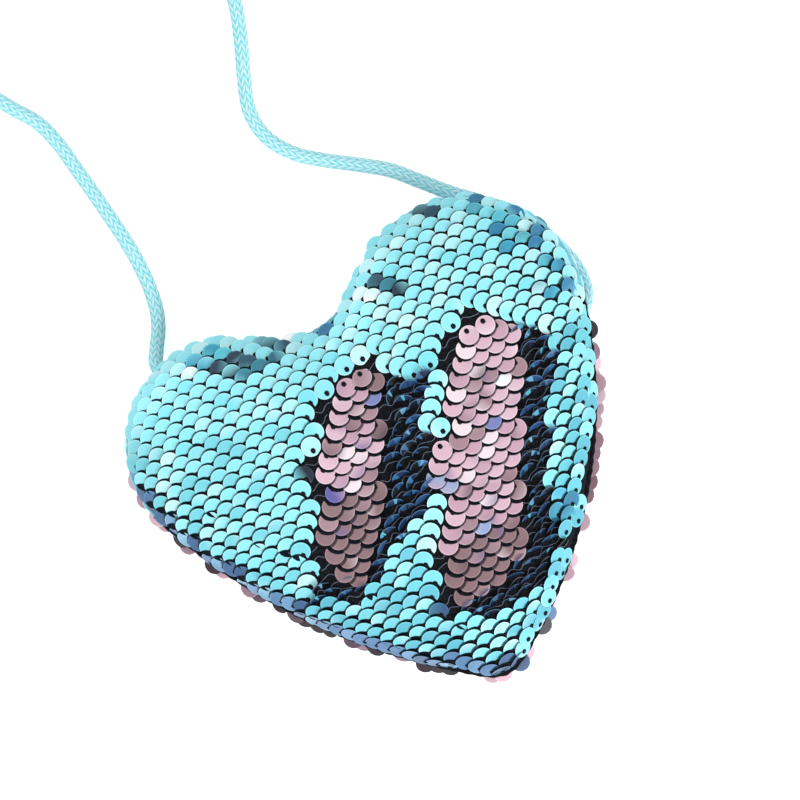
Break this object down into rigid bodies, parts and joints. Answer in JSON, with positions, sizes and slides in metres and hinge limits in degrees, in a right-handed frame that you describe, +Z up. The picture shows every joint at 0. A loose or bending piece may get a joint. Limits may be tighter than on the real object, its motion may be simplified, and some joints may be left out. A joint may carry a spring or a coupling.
{
  "type": "heart shaped purse",
  "caption": "Puffed heart shaped pouch of flip sequins with a zip round one lobe, a folding mouth and a round cord strap.",
  "frame": {"origin": "On the resting surface, under the middle of the purse's own box without the strap.", "axes": "+X across the heart towards the lobe with the zip, +Y from the tip to the lobes, +Z up out of the sequinned front."},
  "size_m": [0.1261, 0.2661, 0.024],
  "materials": {
    "sequin_knit": "black stretch knit that carries the sequins",
    "sequins": "thin two sided discs, turquoise on one face and pearly pink on the other",
    "wadding": "soft polyester wadding",
    "lining": "light woven polyester",
    "satin": "light blue satin",
    "zip_tape": "woven tape",
    "zip_teeth": "moulded plastic",
    "zip_metal": "plated zinc",
    "cord": "shiny braided round cord"
  },
  "bodies": {
    "purse": {"front_sequins": "sequins", "front_panel": "sequin_knit", "front_padding": "wadding", "front_lining": "lining", "back_sequins": "sequins", "back_panel": "sequin_knit", "back_padding": "wadding", "back_lining": "lining", "seam_band": "satin", "zip_lap_ends": "satin", "zip_floor": "satin", "zip_back_tape": "zip_tape", "zip_front_tape_ends": "zip_tape", "zip_back_teeth": "zip_teeth", "zip_front_teeth_ends": "zip_teeth", "zip_top_stops": "zip_metal", "zip_bottom_stop": "zip_metal", "strap_left": "cord", "strap_coil": "cord", "strap_right": "cord"},
    "mouth_flap": {"flap_sequins": "sequins", "flap_panel": "sequin_knit", "flap_padding": "wadding", "flap_lining": "lining", "zip_lap": "satin", "zip_front_tape": "zip_tape", "zip_front_teeth": "zip_teeth"},
    "slider": {"zip_slider": "zip_metal"},
    "pull_tab": {"zip_pull": "zip_metal"}
  },
  "joints": [
    {"name": "mouth_open", "type": "hinge", "parent": "purse", "child": "mouth_flap", "pos_m": [0.03336, 0.04043, 0.0225], "axis": [0.9945, -0.1045, 0], "range_deg": [0, 45]},
    {"name": "slider_travel", "type": "hinge", "parent": "purse", "child": "slider", "pos_m": [0.032, 0.0275, 0.0082], "axis": [0, 0, 1], "range_deg": [0, 132], "deforming": ["zip_back_teeth", "zip_front_teeth", "zip_front_teeth_ends"]},
    {"name": "pull_swing", "type": "hinge", "parent": "slider", "child": "pull_tab", "pos_m": [0.05845, 0.02551, 0.0082], "axis": [0, 0, -1], "range_deg": [0, 120]}
  ]
}
